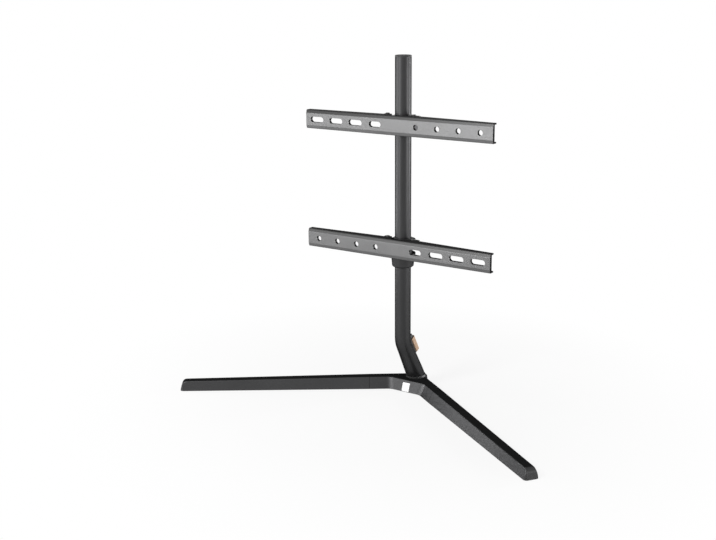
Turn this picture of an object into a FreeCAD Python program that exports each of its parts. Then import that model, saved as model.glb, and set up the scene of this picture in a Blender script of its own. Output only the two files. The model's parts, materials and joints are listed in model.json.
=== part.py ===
import FreeCAD, Part
import math
import os

# Tabletop stand for a flat screen: two spread legs on a low hub, a round pole that leans
# forward out of the hub and then rises upright, and two slotted cross bars that slide and
# swivel on the pole. All lengths are in millimetres, angles in degrees, +Z is up, +X is to
# the right of someone who faces the screen side, and the screen side looks along -Y.
# While the pieces are built, the upright part of the pole stands on x = 0, y = 0 and the
# floor is z = 0. On export everything is moved so that the origin is the middle of the
# footprint.

# Fits and clearances
RUNNING_GAP = 0.08
FIT_GAP = 0.05
LOOSE_GAP = 0.3
OVERRUN = 1.0

# Pole
POLE_DIAMETER = 35.0
POLE_WALL = 2.0
POLE_TOP = 744.5
BEND_HEIGHT = 122.8
BEND_RADIUS = 42.0
POLE_LEAN = 31.0
POLE_END_HEIGHT = 14.5
POLE_SWELL = 2.8
POLE_FOOT_LENGTH = 30.0
CAP_THICKNESS = 3.0
CAP_ROUND = 1.2
CAP_STEM = 14.0
PLUG_LENGTH = 25.0

# Legs, measured from where both leg lines cross under the pole
LEG_ANGLE = 54.47
LEG_REACH = 537.5
LEG_LINE_HEIGHT = 16.5
LEG_ROOT_HALF_WIDTH = 22.3
LEG_ROOT_TOP_HALF_WIDTH = 10.9
LEG_ROOT_HEIGHT = 24.5
LEG_TIP_HALF_WIDTH = 15.6
LEG_TIP_TOP_HALF_WIDTH = 9.7
LEG_TIP_HEIGHT = 20.9
LEG_TIP_SLOPE = 5.0
LEG_NOSE_ROUND = 11.0
LEG_TIP_ROUND = 8.0
LEG_EDGE_ROUND = 1.4
LEG_WALL = 3.2
LEG_SOLID_TIP = 46.0

# Feet
FOOT_LIFT = 1.5
FOOT_RECESS = 1.5
TIP_PAD_RADIUS = 9.0
TIP_PAD_INSET = 20.0
HUB_PAD_RADIUS = 8.0
HUB_PAD_HALF_SPAN = 24.0
HUB_PAD_SETBACK = 24.0

# Hub
HUB_ARM = 110.0
HUB_FRONT_CORNER = 62.0
HUB_FRONT_ROUND = 28.0
HUB_EDGE_ROUND = 1.6
HUB_BACK_ROUND = 14.0
BOSS_WALL = 3.2
BOSS_FLARE = 3.0
BOSS_SHIFT = 2.6
TONGUE_LENGTH = 46.0
TONGUE_HALF_WIDTH = 10.0
TONGUE_TOP = 18.0
TONGUE_LIFT = 2.5
RING_FOOT_WALL = 1.3
RING_TOP_WALL = 0.7
RING_HEIGHT = 5.0

# Bare plate on the hub's front face
PLATE_WIDTH = 18.2
PLATE_HEIGHT = 19.6
PLATE_THICKNESS = 1.2
PLATE_RECESS = 0.6
PLATE_MARGIN = 1.0
PLATE_CORNER = 0.8

# Fasteners
SCREW_RADIUS = 3.0
SCREW_HEAD_RADIUS = 4.6
SCREW_HEAD_HEIGHT = 2.8
SCREW_HOLE_GAP = 0.3
SCREW_POINT = 0.6
HEX_ACROSS = 4.0
HEX_DEPTH = 2.2
LEG_SCREW_INSET = 12.0
LEG_SCREW_PITCH = 22.0
LEG_SCREW_SINK = 6.0
LEG_SCREW_BITE = 4.2
POLE_BOLT_RADIUS = 4.0
POLE_BOLT_HEAD_RADIUS = 6.5
POLE_BOLT_HEAD_HEIGHT = 4.4
POLE_BOLT_SEAT = 5.0
POLE_BOLT_BITE = 18.0
POLE_BOLT_HEX = 5.0

# Cross bars
BAR_HALF_LENGTH = 228.6
BAR_HEIGHT = 40.8
BAR_SHEET = 3.0
BAR_BEVEL_HEIGHT = 7.4
BAR_BEVEL_DEPTH = 2.0
BAR_STRIP = 4.5
BAR_EDGE_ROUND = 2.4
BAR_STANDOFF = 15.8
FLANGE_END_DEPTH = 14.8
FLANGE_MID_DEPTH = 24.0
FLANGE_MID_MARGIN = 7.0
TAB_MARGIN = 3.0
TAB_DEPTH = 32.0
NOTCH_GAP = 9.5
HOLE_PITCH = 50.0
HOLES_PER_SIDE = 4
HOLE_RADIUS = 6.0
SLOT_LENGTH = 34.0
SHORT_SLOT_LENGTH = 29.0
LOWER_BAR_HEIGHT = 338.7
UPPER_BAR_HEIGHT = 604.0
BAR_SCREW_MARGIN = 0.8
BAR_SCREW_BACK = 23.3
BAR_SCREW_REACH = 7.0

# Stop collar under the lower bar
COLLAR_TOP_WALL = 7.7
COLLAR_LOW_WALL = 5.9
COLLAR_HEIGHT = 21.2
COLLAR_CHAMFER = 2.0
WASHER_THICKNESS = 1.0
GRUB_LENGTH = 5.5
GRUB_ANGLE = 40.0
GRUB_HEX = 3.0
GRUB_HEX_DEPTH = 2.4
STOP_PIN_RADIUS = 1.5
STOP_PIN_SINK = 6.0
SWIVEL_LIMIT = 30.0

# Carrier of the lower bar
SLEEVE_WALL = 2.0
LINER_WALL = 1.2
CARRIER_PLATE = 5.0
CARRIER_DISC_WALL = 6.5
CARRIER_EDGE = 8.0
CARRIER_CORNER = 6.0
CARRIER_DEPTH = 27.0
SPINE_HALF_WIDTH = 4.0

# Clamp of the upper bar
BUSH_WALL = 1.8
BUSH_LIP_REACH = 2.9
BUSH_LIP = 1.2
BUSH_SPLIT = 2.0
CLAMP_SPLIT = 0.6
CLAMP_WALL = 7.2
CLAMP_REAR_HEIGHT = 28.0
CLAMP_EAR_GAP = 1.0
CLAMP_EAR_HALF_WIDTH = 8.5
CLAMP_EAR_THICKNESS = 8.5
CLAMP_SCREW_BITE = 13.0

# Cable clip behind the leaning part of the pole
CLIP_TOP = 11.5
CLIP_LENGTH = 41.0
CLIP_HALF_WIDTH = 10.0
CLIP_DEPTH = 12.9
CLIP_WALL = 2.0
CLIP_CORNER = 2.4
CLIP_MOUTH = 6.6
CLIP_BASE_HALF_WIDTH = 8.0
CLIP_BASE_THICKNESS = 2.6
CLIP_HOOD_LENGTH = 9.5
CLIP_HOOD_DEPTH = 9.8
CLIP_TAIL = 1.5
CLIP_SCREW_RADIUS = 2.0
CLIP_SCREW_HEAD_RADIUS = 3.6
CLIP_SCREW_HEAD_HEIGHT = 2.0
CLIP_SCREW_POINT = 2.5

# Values worked out from the sizes above
POLE_RADIUS = POLE_DIAMETER / 2
POLE_FOOT_RADIUS = POLE_RADIUS + POLE_SWELL
LEAN = math.radians(POLE_LEAN)
HUB_TOP = FOOT_LIFT + LEG_ROOT_HEIGHT
LEG_LINE_Y = (BEND_HEIGHT - LEG_LINE_HEIGHT) * math.tan(LEAN)
BEND_TANGENT = BEND_RADIUS * math.tan(LEAN / 2)
LEANING_LENGTH = (BEND_HEIGHT - POLE_END_HEIGHT) / math.cos(LEAN)
POLE_TAPER_LENGTH = LEANING_LENGTH - BEND_TANGENT - POLE_FOOT_LENGTH
SLEEVE_RADIUS = POLE_RADIUS + RUNNING_GAP + LINER_WALL + FIT_GAP + SLEEVE_WALL
BUSH_RADIUS = POLE_RADIUS + RUNNING_GAP + BUSH_WALL
BUSH_LIP_RADIUS = BUSH_RADIUS + BUSH_LIP_REACH
CLAMP_RADIUS = BUSH_RADIUS + RUNNING_GAP + CLAMP_WALL
CLAMP_EAR_X = CLAMP_RADIUS + CLAMP_EAR_GAP + SCREW_HEAD_RADIUS
STOP_PIN_CIRCLE = SLEEVE_RADIUS + RUNNING_GAP + LOOSE_GAP + STOP_PIN_RADIUS
CARRIER_DISC_RADIUS = SLEEVE_RADIUS + CARRIER_DISC_WALL
COLLAR_TOP_RADIUS = POLE_RADIUS + COLLAR_TOP_WALL
COLLAR_LOW_RADIUS = POLE_RADIUS + COLLAR_LOW_WALL
BOSS_RADIUS = POLE_FOOT_RADIUS + BOSS_WALL
BAR_FRONT = POLE_RADIUS + BAR_STANDOFF
NOTCH_RADIUS = POLE_RADIUS + NOTCH_GAP
BAR_SCREW_X = NOTCH_RADIUS + SCREW_HEAD_RADIUS + BAR_SCREW_MARGIN
CARRIER_HALF_WIDTH = BAR_SCREW_X + CARRIER_EDGE
TAB_HALF_LENGTH = CARRIER_HALF_WIDTH + TAB_MARGIN
FLANGE_MID_HALF_LENGTH = TAB_HALF_LENGTH + FLANGE_MID_MARGIN
WEB_BACK = -BAR_FRONT + BAR_SHEET
INNER_HALF_HEIGHT = BAR_HEIGHT / 2 - BAR_SHEET
STRIP_START = TAB_HALF_LENGTH + LOOSE_GAP
STRIP_HALF_HEIGHT = (BAR_HEIGHT - BAR_SHEET) / 2
CARRIER_FRONT = WEB_BACK + BAR_BEVEL_DEPTH
BAR_SCREW_Y = -BAR_FRONT + BAR_SCREW_BACK
COLLAR_TOP = LOWER_BAR_HEIGHT - BAR_HEIGHT / 2 - WASHER_THICKNESS

V = FreeCAD.Vector
ORIGIN = V(0, 0, 0)
RIGHT = V(1, 0, 0)
BACK = V(0, 1, 0)
UP = V(0, 0, 1)
BEND_POINT = V(0, 0, BEND_HEIGHT)
DOWN_POLE = V(0, math.sin(LEAN), -math.cos(LEAN))
UP_POLE = V(0, -math.sin(LEAN), math.cos(LEAN))
OFF_POLE = V(0, math.cos(LEAN), math.sin(LEAN))
POLE_FOOT = BEND_POINT + DOWN_POLE * LEANING_LENGTH


def block(x_range, y_range, z_range):
    """Return a box between the given pairs of coordinates."""
    size = [high - low for low, high in (x_range, y_range, z_range)]
    return Part.makeBox(size[0], size[1], size[2], V(x_range[0], y_range[0], z_range[0]))


def rod(radius, start, direction, length):
    """Return a solid cylinder that begins at start and runs along direction."""
    return Part.makeCylinder(radius, length, start, direction)


def ring(outer, inner, start, direction, length):
    """Return a tube with the two radii."""
    return rod(outer, start, direction, length).cut(rod(inner, start, direction, length))


def prism(points, low, high):
    """Return the plan outline through the (x, y) points, raised from low to high."""
    corners = [V(x, y, low) for x, y in points]
    outline = Part.makePolygon(corners + corners[:1])
    return Part.Face(outline).extrude(UP * (high - low))


def rounded_block(half_x, y_range, z_range, radius):
    """Return a box whose four upright edges are rounded."""
    solid = block((-half_x, half_x), y_range, z_range)
    upright = [edge for edge in solid.Edges if abs(edge.tangentAt(edge.FirstParameter).z) > 0.9]
    return solid.makeFillet(radius, upright)


def hexagon(across, start, direction, depth):
    """Return a six-sided plug for a key recess."""
    radius = across / 2 / math.cos(math.radians(30))
    points = [V(radius * math.cos(math.radians(60 * k)), radius * math.sin(math.radians(60 * k)), 0)
              for k in range(6)]
    face = Part.Face(Part.makePolygon(points + points[:1]))
    solid = face.extrude(UP * depth)
    solid.Placement = FreeCAD.Placement(start, FreeCAD.Rotation(UP, direction))
    return solid


def mirrored(shape):
    """Return the same shape on the other side of the stand."""
    return shape.mirror(ORIGIN, RIGHT)


def cap_screw(seat, direction, reach, radius=SCREW_RADIUS, head_radius=SCREW_HEAD_RADIUS,
              head_height=SCREW_HEAD_HEIGHT, across=HEX_ACROSS):
    """Return a screw whose head sits at seat and whose shank runs along direction."""
    shank = rod(radius, seat, direction, reach)
    point = [edge for edge in shank.Edges
             if (edge.CenterOfMass - seat).dot(direction) > reach - FIT_GAP]
    shank = shank.makeChamfer(SCREW_POINT, point)
    top = seat - direction * head_height
    head = rod(head_radius, top, direction, head_height)
    rim = [edge for edge in head.Edges if (edge.CenterOfMass - top).Length < FIT_GAP]
    head = head.makeChamfer(SCREW_POINT, rim)
    return head.fuse(shank).cut(hexagon(across, top, direction, HEX_DEPTH))


# Pole

def pole_foot(grow):
    """Return the pole's straight foot and the taper above it, grown by an amount."""
    straight = rod(POLE_FOOT_RADIUS + grow, POLE_FOOT, UP_POLE, POLE_FOOT_LENGTH)
    taper = Part.makeCone(POLE_FOOT_RADIUS + grow, POLE_RADIUS + grow, POLE_TAPER_LENGTH,
                          POLE_FOOT + UP_POLE * POLE_FOOT_LENGTH, UP_POLE)
    return straight.fuse(taper)


def pole_path(grow):
    """Return the solid of the pole's outside, grown by an amount."""
    bend_low = BEND_POINT + DOWN_POLE * BEND_TANGENT
    bend_high = BEND_POINT + UP * BEND_TANGENT
    centre = bend_high + BACK * BEND_RADIUS
    half = LEAN / 2
    bend_mid = centre + V(0, -math.cos(half), -math.sin(half)) * BEND_RADIUS
    path = Part.Wire([
        Part.Arc(bend_low, bend_mid, bend_high).toShape(),
        Part.LineSegment(bend_high, V(0, 0, POLE_TOP)).toShape(),
    ])
    section = Part.Wire(Part.makeCircle(POLE_RADIUS + grow, bend_low, UP_POLE))
    return path.makePipeShell([section], True, True).fuse(pole_foot(grow))


def pole():
    """Return the bent tube with the hole for the clip screw."""
    tube = pole_path(0).cut(pole_path(-POLE_WALL))
    hole = rod(CLIP_SCREW_RADIUS + FIT_GAP, clip_screw_place(), OFF_POLE, POLE_FOOT_RADIUS)
    return tube.cut(hole)


def pole_top_cap():
    """Return the flush cap with its stem inside the tube."""
    start = V(0, 0, POLE_TOP)
    disc = rod(POLE_RADIUS, start, UP, CAP_THICKNESS)
    rim = [edge for edge in disc.Edges if edge.BoundBox.ZMin > POLE_TOP + CAP_THICKNESS - FIT_GAP]
    disc = disc.makeFillet(CAP_ROUND, rim)
    inner = POLE_RADIUS - POLE_WALL - FIT_GAP
    stem = ring(inner, inner - CAP_THICKNESS, start - UP * CAP_STEM, UP, CAP_STEM)
    return disc.fuse(stem)


def pole_plug():
    """Return the threaded plug in the foot of the tube."""
    inner = POLE_FOOT_RADIUS - POLE_WALL - FIT_GAP
    return ring(inner, POLE_BOLT_RADIUS + FIT_GAP, POLE_FOOT, UP_POLE, PLUG_LENGTH)


def pole_bolt_seat():
    """Return where the head of the pole bolt rests under the socket floor."""
    return POLE_FOOT + DOWN_POLE * POLE_BOLT_SEAT


def pole_bolt():
    """Return the bolt that pulls the pole into the hub from below."""
    return cap_screw(pole_bolt_seat(), UP_POLE, POLE_BOLT_SEAT + POLE_BOLT_BITE, POLE_BOLT_RADIUS,
                     POLE_BOLT_HEAD_RADIUS, POLE_BOLT_HEAD_HEIGHT, POLE_BOLT_HEX)


def pole_cut(radius, height):
    """Return the level cut, at a height, through a rod of the radius around the leaning pole."""
    centre = V(0, (BEND_HEIGHT - height) * math.tan(LEAN), height)
    outline = Part.Ellipse(centre, radius / math.cos(LEAN), radius)
    outline.rotate(FreeCAD.Placement(centre, FreeCAD.Rotation(UP, 90), ORIGIN))
    return Part.Wire(outline.toShape())


def pole_trim_ring():
    """Return the flared skirt on the hub around the leaning pole."""
    foot = pole_cut(POLE_FOOT_RADIUS + RING_FOOT_WALL, HUB_TOP)
    rim = pole_cut(POLE_FOOT_RADIUS + RING_TOP_WALL, HUB_TOP + RING_HEIGHT)
    skirt = Part.makeLoft([foot, rim], True, True)
    return skirt.cut(pole_foot(FIT_GAP))


# Legs, in a frame of their own: x along the leg, y across it, z up

def along_leg(share, root, tip):
    """Return a size that runs evenly from the leg's root to its tip."""
    return root + (tip - root) * share


def leg_section(place, inset, roof, slope):
    """Return the leg's outline at a place, drawn in by inset, with roof taken off its top."""
    share = (place - HUB_ARM) / (LEG_REACH - HUB_ARM)
    low = along_leg(share, LEG_ROOT_HALF_WIDTH, LEG_TIP_HALF_WIDTH)
    high = along_leg(share, LEG_ROOT_TOP_HALF_WIDTH, LEG_TIP_TOP_HALF_WIDTH)
    height = along_leg(share, LEG_ROOT_HEIGHT, LEG_TIP_HEIGHT)
    top = height - roof
    at_top = low + (high - low) * top / height - inset
    at_foot = low - inset
    corners = [V(place, -at_foot, FOOT_LIFT), V(place, at_foot, FOOT_LIFT),
               V(place - slope, at_top, FOOT_LIFT + top), V(place - slope, -at_top, FOOT_LIFT + top)]
    return Part.makePolygon(corners + corners[:1])


def ridges(body, low, high):
    """Return the two long upper edges of a straight piece of leg between two places."""
    return [edge for edge in body.Edges
            if edge.BoundBox.XMin < low + FIT_GAP and edge.BoundBox.XMax > high - FIT_GAP
            and edge.BoundBox.ZMin > FOOT_LIFT + LEG_TIP_HEIGHT / 2]


def leg_beam(start, end):
    """Return a straight solid piece of leg with rounded upper edges."""
    body = Part.makeLoft([leg_section(start, 0, 0, 0), leg_section(end, 0, 0, 0)], True, True)
    return body.makeFillet(LEG_EDGE_ROUND, ridges(body, start, end))


def tip_corner(body, side):
    """Return the leg's tip with the corner on a side rounded, widely at the foot and less above."""
    corner = [edge for edge in body.Edges
              if edge.BoundBox.ZMin < FOOT_LIFT + FIT_GAP and edge.BoundBox.ZLength > FIT_GAP
              and edge.BoundBox.XMin > LEG_REACH - LEG_SOLID_TIP + FIT_GAP
              and edge.CenterOfMass.y * side > FIT_GAP][0]
    rises = corner.valueAt(corner.FirstParameter).z < corner.valueAt(corner.LastParameter).z
    radii = (LEG_TIP_ROUND, LEG_EDGE_ROUND) if rises else (LEG_EDGE_ROUND, LEG_TIP_ROUND)
    return body.makeFillet(*radii, [corner])


def leg_nose():
    """Return the solid tip of a leg, its end rounded over and its corners rounded widely."""
    start = LEG_REACH - LEG_SOLID_TIP
    body = Part.makeLoft([leg_section(start, 0, 0, 0),
                          leg_section(LEG_REACH, 0, 0, LEG_TIP_SLOPE)], True, True)
    brow = [edge for edge in body.Edges
            if edge.BoundBox.XLength < FIT_GAP and edge.BoundBox.ZLength < FIT_GAP
            and edge.BoundBox.XMin > start + FIT_GAP and edge.BoundBox.ZMin > FOOT_LIFT + FIT_GAP]
    body = body.makeFillet(LEG_NOSE_ROUND, brow)
    return tip_corner(tip_corner(body, 1), -1)


def leg_outer():
    """Return the solid outer shape of a leg with its rounded edges."""
    beam = leg_beam(HUB_ARM, LEG_REACH - LEG_SOLID_TIP)
    return beam.fuse(leg_nose())


def leg_screw_places():
    """Return how far along the leg each of its screws stands."""
    first = HUB_ARM + LEG_SCREW_INSET
    return [first, first + LEG_SCREW_PITCH]


def leg_blank():
    """Return one leg, hollow below, with its pocket, screw holes and foot recess."""
    body = leg_outer()
    side = math.hypot(LEG_ROOT_HEIGHT, LEG_ROOT_HALF_WIDTH - LEG_ROOT_TOP_HALF_WIDTH)
    inset = LEG_WALL * side / LEG_ROOT_HEIGHT
    pocket_end = HUB_ARM + TONGUE_LENGTH + LOOSE_GAP
    hollow = Part.makeLoft([leg_section(pocket_end + LEG_WALL, inset, LEG_WALL, 0),
                            leg_section(LEG_REACH - LEG_SOLID_TIP, inset, LEG_WALL, 0)], True, True)
    half = TONGUE_HALF_WIDTH + FIT_GAP
    pocket = block((HUB_ARM - OVERRUN, pocket_end), (-half, half), (FOOT_LIFT - OVERRUN, TONGUE_TOP))
    body = body.cut([hollow, pocket])
    for place in leg_screw_places():
        hole = rod(SCREW_RADIUS + FIT_GAP, V(place, 0, TONGUE_TOP), UP, LEG_SCREW_BITE + FIT_GAP)
        body = body.cut(hole)
    recess = rod(TIP_PAD_RADIUS + FIT_GAP, V(LEG_REACH - TIP_PAD_INSET, 0, FOOT_LIFT), UP, FOOT_RECESS)
    return body.cut(recess)


def leg_screw(place):
    """Return one screw of a leg, sunk into the tongue from below."""
    seat = V(place, 0, FOOT_LIFT + TONGUE_LIFT + LEG_SCREW_SINK)
    reach = TONGUE_TOP - seat.z + LEG_SCREW_BITE
    return cap_screw(seat, UP, reach)


def tip_pad():
    """Return the round foot under the tip of a leg."""
    return rod(TIP_PAD_RADIUS, V(LEG_REACH - TIP_PAD_INSET, 0, 0), UP, FOOT_LIFT + FOOT_RECESS)


def to_right_leg(shape):
    """Return a shape of the leg's own frame where the right leg is."""
    turned = shape.copy()
    turned.rotate(ORIGIN, UP, LEG_ANGLE - 90)
    turned.translate(V(0, LEG_LINE_Y, 0))
    return turned


# Hub

def leg_point(place, across, height):
    """Return a point of the right leg's line, given in the leg's own frame."""
    return to_right_leg(Part.Vertex(place, across, FOOT_LIFT + height)).Point


def rounded_turn(before, corner, after, radius):
    """Return where the arc that rounds a corner starts, its middle and where it ends."""
    back = (before - corner).normalize()
    onward = (after - corner).normalize()
    half = back.getAngle(onward) / 2
    run = radius / math.tan(half)
    middle = corner + (back + onward).normalize() * (radius / math.sin(half) - radius)
    return corner + back * run, middle, corner + onward * run


def rounded_outline(corners):
    """Return the closed outline through (point, radius) corners, sharp where the radius is zero."""
    points = [point for point, radius in corners]
    turns = []
    for index, (point, radius) in enumerate(corners):
        after = points[(index + 1) % len(points)]
        turns.append(rounded_turn(points[index - 1], point, after, radius) if radius else (point,))
    edges = []
    for index, turn in enumerate(turns):
        if len(turn) > 1:
            edges.append(Part.Arc(*turn).toShape())
        following = turns[(index + 1) % len(turns)]
        edges.append(Part.LineSegment(turn[-1], following[0]).toShape())
    return Part.Wire(edges)


def hub_outline(half_width, height):
    """Return the hub's plan outline at a height where its arms have the half width."""
    front = leg_point(HUB_FRONT_CORNER, -half_width, height)
    inner = leg_point(HUB_ARM, -half_width, height)
    outer = leg_point(HUB_ARM, half_width, height)
    apex = V(0, LEG_LINE_Y + half_width / math.sin(math.radians(LEG_ANGLE)), front.z)
    right = [(front, HUB_FRONT_ROUND), (inner, 0), (outer, 0)]
    left = [(V(-point.x, point.y, point.z), radius) for point, radius in right[::-1]]
    return rounded_outline(right + [(apex, HUB_BACK_ROUND)] + left)


def hub_middle():
    """Return the block between the legs with its two arms, rounded along its upper edges."""
    body = Part.makeLoft([hub_outline(LEG_ROOT_HALF_WIDTH, 0),
                          hub_outline(LEG_ROOT_TOP_HALF_WIDTH, LEG_ROOT_HEIGHT)], True, True)
    end = leg_point(HUB_ARM, 0, LEG_ROOT_HEIGHT)
    rim = [edge for edge in body.Edges
           if edge.BoundBox.ZMin > HUB_TOP - FIT_GAP
           and (V(abs(edge.CenterOfMass.x), edge.CenterOfMass.y, edge.CenterOfMass.z)
                - end).Length > FIT_GAP]
    return body.makeFillet(LEG_EDGE_ROUND, rim)


def hub_body():
    """Return the cast hub with its arms and the boss behind the pole."""
    body = hub_middle()
    socket_y = (BEND_HEIGHT - HUB_TOP) * math.tan(LEAN) + BOSS_SHIFT
    boss = Part.makeCone(BOSS_RADIUS + BOSS_FLARE, BOSS_RADIUS, LEG_ROOT_HEIGHT,
                         V(0, socket_y, FOOT_LIFT), UP)
    boss.rotate(V(0, socket_y, 0), UP, -90)
    rim = [edge for edge in boss.Edges if edge.BoundBox.ZMin > HUB_TOP - FIT_GAP]
    boss = boss.makeFillet(HUB_EDGE_ROUND, rim)
    return body.fuse(boss)


def tongue():
    """Return the bar of the hub that reaches into a leg, with its screw holes."""
    low = FOOT_LIFT + TONGUE_LIFT
    bar = block((HUB_ARM - TONGUE_HALF_WIDTH, HUB_ARM + TONGUE_LENGTH),
                (-TONGUE_HALF_WIDTH, TONGUE_HALF_WIDTH), (low, TONGUE_TOP))
    for place in leg_screw_places():
        through = rod(SCREW_RADIUS + SCREW_HOLE_GAP, V(place, 0, low), UP, TONGUE_TOP - low)
        sink = rod(SCREW_HEAD_RADIUS + SCREW_HOLE_GAP, V(place, 0, low), UP, LEG_SCREW_SINK)
        bar = bar.cut([through, sink])
    return to_right_leg(bar)


def front_lean():
    """Return how far the hub's front face leans back, in degrees."""
    low = leg_point(HUB_FRONT_CORNER, -LEG_ROOT_HALF_WIDTH, 0)
    high = leg_point(HUB_FRONT_CORNER, -LEG_ROOT_TOP_HALF_WIDTH, LEG_ROOT_HEIGHT)
    return math.degrees(math.atan2(high.y - low.y, high.z - low.z))


def on_front_face(shape):
    """Return a shape drawn on an upright front plane, laid on the hub's front face."""
    laid = shape.copy()
    laid.rotate(ORIGIN, RIGHT, -front_lean())
    laid.translate(V(0, leg_point(HUB_FRONT_CORNER, -LEG_ROOT_HALF_WIDTH, 0).y, FOOT_LIFT))
    return laid


def plate_block(grow, front, back):
    """Return the plate's rounded outline, enlarged by grow, from front to back."""
    half = PLATE_WIDTH / 2 + grow
    solid = block((-half, half), (front, back),
                  (PLATE_MARGIN - grow, PLATE_MARGIN + PLATE_HEIGHT + grow))
    corners = [edge for edge in solid.Edges if abs(edge.tangentAt(edge.FirstParameter).y) > 0.9]
    return solid.makeFillet(PLATE_CORNER, corners)


def front_plate():
    """Return the bare plate that is let into the hub's front face."""
    return on_front_face(plate_block(0, PLATE_RECESS - PLATE_THICKNESS, PLATE_RECESS))


def hub_pad_blank(radius, low, high):
    """Return the long round-ended foot under the hub."""
    y = leg_point(HUB_FRONT_CORNER, -LEG_ROOT_HALF_WIDTH, 0).y + HUB_PAD_SETBACK
    ends = [rod(radius, V(x, y, low), UP, high - low) for x in (-HUB_PAD_HALF_SPAN, HUB_PAD_HALF_SPAN)]
    middle = block((-HUB_PAD_HALF_SPAN, HUB_PAD_HALF_SPAN), (y - radius, y + radius), (low, high))
    return middle.fuse(ends).removeSplitter()


def hub_foot_pad():
    """Return the foot under the hub."""
    return hub_pad_blank(HUB_PAD_RADIUS, 0, FOOT_LIFT + FOOT_RECESS)


def base_hub():
    """Return the hub with its tongues, socket, bolt recess and foot recess."""
    right = tongue()
    body = hub_body().fuse([right, mirrored(right)])
    bolt_hole = rod(POLE_BOLT_RADIUS + SCREW_HOLE_GAP, POLE_FOOT, DOWN_POLE, POLE_BOLT_SEAT)
    sink = rod(POLE_BOLT_HEAD_RADIUS + SCREW_HOLE_GAP, pole_bolt_seat(), DOWN_POLE, LEG_ROOT_HEIGHT)
    pad = hub_pad_blank(HUB_PAD_RADIUS + FIT_GAP, FOOT_LIFT, FOOT_LIFT + FOOT_RECESS)
    plate = on_front_face(plate_block(FIT_GAP, -PLATE_THICKNESS, PLATE_RECESS))
    return body.cut([pole_foot(FIT_GAP), bolt_hole, sink, pad, plate])


# Cross bars

def inner_corner(before, corner, after):
    """Return the inside point of a bend of the sheet, from the outside points round it."""
    first = (corner - before).normalize()
    second = (after - corner).normalize()
    inward = (second - first).normalize()
    return corner + inward * (BAR_SHEET / math.cos(first.getAngle(second) / 2))


def bar_profile():
    """Return the bar's bent sheet section, drawn in the plane across the bar."""
    half = BAR_HEIGHT / 2
    back = -BAR_FRONT + TAB_DEPTH
    upper = [(back, half), (-BAR_FRONT + BAR_BEVEL_DEPTH, half), (-BAR_FRONT, half - BAR_BEVEL_HEIGHT)]
    outline = upper + [(y, -z) for y, z in upper[::-1]]
    outer = [V(-BAR_HALF_LENGTH, y, z) for y, z in outline]
    turns = [inner_corner(*outer[index - 1:index + 2]) for index in range(1, len(outer) - 1)]
    sheet = UP * BAR_SHEET
    points = outer + [outer[-1] + sheet] + turns[::-1] + [outer[0] - sheet]
    return Part.Face(Part.makePolygon(points + points[:1]))


def bar_plan():
    """Return the bar's outline from above, with its flanges deeper near the pole."""
    end = -BAR_FRONT + FLANGE_END_DEPTH
    middle = -BAR_FRONT + FLANGE_MID_DEPTH
    tab = -BAR_FRONT + TAB_DEPTH
    back = [(BAR_HALF_LENGTH, end), (FLANGE_MID_HALF_LENGTH, middle), (TAB_HALF_LENGTH, middle),
            (TAB_HALF_LENGTH, tab)]
    front = [(-BAR_HALF_LENGTH, -BAR_FRONT - OVERRUN), (BAR_HALF_LENGTH, -BAR_FRONT - OVERRUN)]
    points = front + back + [(-x, y) for x, y in back[::-1]]
    return prism(points, -BAR_HEIGHT, BAR_HEIGHT)


def bar_strip():
    """Return the flat strip that doubles the right half of the bar's face from behind."""
    return block((STRIP_START, BAR_HALF_LENGTH), (WEB_BACK, WEB_BACK + BAR_STRIP),
                 (-STRIP_HALF_HEIGHT, STRIP_HALF_HEIGHT))


def bar_hole(x):
    """Return the cutter of a round hole through the bar's face and strip."""
    return rod(HOLE_RADIUS, V(x, -BAR_FRONT - OVERRUN, 0), BACK, BAR_SHEET + BAR_STRIP + OVERRUN * 2)


def bar_slot(x, length):
    """Return the cutter of a slot of the given length, centred on x."""
    reach = length / 2 - HOLE_RADIUS
    start = -BAR_FRONT - OVERRUN
    middle = block((x - reach, x + reach), (start, start + BAR_SHEET + BAR_STRIP + OVERRUN * 2),
                   (-HOLE_RADIUS, HOLE_RADIUS))
    return middle.fuse([bar_hole(x - reach), bar_hole(x + reach)])


def bar_blank():
    """Return a bar at height zero, with slots on its left half and round holes on its right."""
    body = bar_profile().extrude(RIGHT * (BAR_HALF_LENGTH * 2))
    bends = [edge for edge in body.Edges
             if edge.BoundBox.XLength > BAR_HALF_LENGTH
             and edge.BoundBox.YMax < -BAR_FRONT + BAR_BEVEL_DEPTH + FIT_GAP
             and (abs(abs(edge.CenterOfMass.z) - BAR_HEIGHT / 2) < FIT_GAP
                  or abs(edge.CenterOfMass.y + BAR_FRONT) < FIT_GAP)]
    body = body.makeFillet(BAR_EDGE_ROUND, bends)
    body = body.common(bar_plan()).fuse([bar_strip(), mirrored(bar_strip())])
    body = body.cut(rod(NOTCH_RADIUS, V(0, 0, -BAR_HEIGHT), UP, BAR_HEIGHT * 2))
    for count in range(1, HOLES_PER_SIDE + 1):
        slot = SHORT_SLOT_LENGTH if count == 1 else SLOT_LENGTH
        body = body.cut([bar_slot(-count * HOLE_PITCH, slot), bar_hole(count * HOLE_PITCH)])
    for x in (-BAR_SCREW_X, BAR_SCREW_X):
        body = body.cut(rod(SCREW_RADIUS + SCREW_HOLE_GAP, V(x, BAR_SCREW_Y, -BAR_HEIGHT), UP,
                            BAR_HEIGHT * 2))
    return body


def lower_bar():
    """Return the lower bar: the same piece turned half round, so its slots are on the right."""
    bar = bar_blank()
    bar.rotate(ORIGIN, BACK, 180)
    return bar.translated(UP * LOWER_BAR_HEIGHT)


def upper_bar():
    """Return the upper bar."""
    return bar_blank().translated(UP * UPPER_BAR_HEIGHT)


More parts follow.
